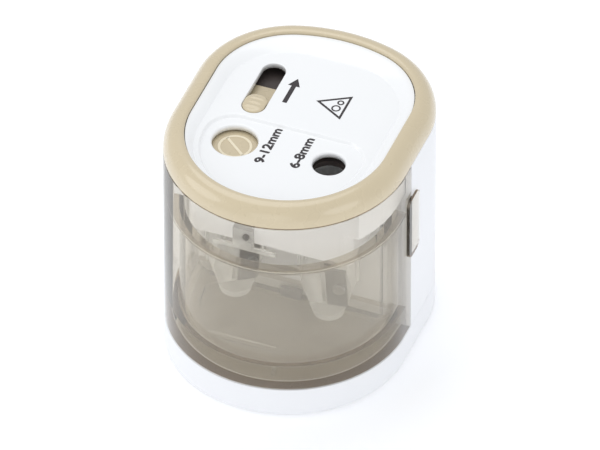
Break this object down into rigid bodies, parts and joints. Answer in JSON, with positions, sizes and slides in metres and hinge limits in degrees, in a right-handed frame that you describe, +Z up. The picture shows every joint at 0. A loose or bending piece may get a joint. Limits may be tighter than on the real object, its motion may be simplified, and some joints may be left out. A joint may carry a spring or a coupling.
{
  "type": "electric pencil sharpener",
  "caption": "Compact battery-powered pencil sharpener with a large and a small pencil hole, a sliding shutter and a pull-out clear shavings drawer.",
  "frame": {"origin": "centre of the footprint on the surface it stands on", "axes": "+Z up, -Y out of the round front where the drawer opens, +X to the right seen from the front"},
  "size_m": [0.069, 0.081, 0.0723],
  "materials": {
    "white_plastic": "smooth moulded, semi-gloss",
    "white_panel": "smooth moulded, glossy",
    "beige_plastic": "polished, pearly",
    "smoke_plastic": "transparent, smoke tinted",
    "clear_plastic": "transparent",
    "white_acetal": "moulded acetal",
    "black_plastic": "moulded",
    "rubber_dark": "matt",
    "cell_sleeve": "printed film over steel",
    "contact_nickel": "nickel plated",
    "contact_brass": "plain",
    "motor_steel": "zinc plated",
    "magnet_ferrite": "sintered ferrite",
    "copper_winding": "enamelled copper wire",
    "shaft_steel": "ground",
    "screw_steel": "zinc plated",
    "blade_steel": "ground and hardened"
  },
  "bodies": {
    "housing": {"base_tray": "white_plastic", "rubber_feet": "rubber_dark", "base_screws": "screw_steel", "battery_cells": "cell_sleeve", "top_contacts": "contact_nickel", "rear_shell": "white_plastic", "partition": "white_plastic", "reed_switch": "black_plastic", "housing_screws": "screw_steel", "motor_can": "motor_steel", "motor_magnets": "magnet_ferrite", "motor_end_cap": "white_acetal", "motor_terminals": "contact_brass", "motor_screws": "screw_steel", "compound_axle": "shaft_steel", "idler_axle": "shaft_steel", "gear_housing": "white_plastic", "cutter_hood": "white_plastic", "gear_cover": "black_plastic", "cover_screws": "screw_steel", "start_contacts": "contact_brass", "drawer_catch": "clear_plastic", "catch_screw": "black_plastic", "top_panel": "white_panel", "bezel_ring": "beige_plastic"},
    "drawer": {"drawer": "smoke_plastic", "shavings_tub": "smoke_plastic", "rear_gate": "smoke_plastic", "drawer_grips": "smoke_plastic", "drawer_magnet": "magnet_ferrite"},
    "shutter": {"shutter_plate": "beige_plastic", "shutter_knob": "beige_plastic"},
    "large_cutter": {"large_carrier": "clear_plastic", "large_carrier_gear": "white_acetal", "large_blade": "blade_steel", "large_blade_screw": "screw_steel"},
    "small_cutter": {"small_carrier": "clear_plastic", "small_carrier_gear": "white_acetal", "small_blade": "blade_steel", "small_blade_screw": "screw_steel"},
    "idler": {"idler_gear": "white_acetal"},
    "compound": {"compound_gear": "white_acetal"},
    "rotor": {"motor_shaft": "shaft_steel", "motor_pinion": "contact_brass", "motor_armature": "copper_winding"},
    "door": {"battery_door": "white_plastic", "door_contacts": "contact_nickel", "door_feet": "rubber_dark"}
  },
  "joints": [
    {"name": "drawer_slide", "type": "slide", "parent": "housing", "child": "drawer", "axis": [0, -1, 0], "range_m": [0, 0.06]},
    {"name": "shutter_slide", "type": "slide", "parent": "housing", "child": "shutter", "axis": [0, 1, 0], "range_m": [0, 0.0134]},
    {"name": "large_cutter_spin", "type": "hinge", "parent": "housing", "child": "large_cutter", "pos_m": [-0.0135, -0.0115, 0.0587], "axis": [0, 0, 1], "continuous": true},
    {"name": "small_cutter_spin", "type": "hinge", "parent": "housing", "child": "small_cutter", "pos_m": [0.0135, -0.0115, 0.0587], "axis": [0, 0, 1], "continuous": true},
    {"name": "idler_spin", "type": "hinge", "parent": "housing", "child": "idler", "pos_m": [0, -0.00496, 0.0587], "axis": [0, 0, 1], "continuous": true},
    {"name": "compound_spin", "type": "hinge", "parent": "housing", "child": "compound", "pos_m": [0, 0.00464, 0.06], "axis": [0, 0, 1], "continuous": true},
    {"name": "motor_spin", "type": "hinge", "parent": "housing", "child": "rotor", "pos_m": [0, 0.01844, 0.045], "axis": [0, 0, 1], "continuous": true},
    {"name": "battery_door_hinge", "type": "hinge", "parent": "housing", "child": "door", "pos_m": [0, 0.0052, 0.0016], "axis": [-1, 0, 0], "range_deg": [0, 95]}
  ],
  "couplings": [
    {"joint": "small_cutter_spin", "follows": "large_cutter_spin", "ratio": 1},
    {"joint": "idler_spin", "follows": "large_cutter_spin", "ratio": -1.5},
    {"joint": "compound_spin", "follows": "large_cutter_spin", "ratio": 2.5},
    {"joint": "motor_spin", "follows": "large_cutter_spin", "ratio": -9}
  ]
}
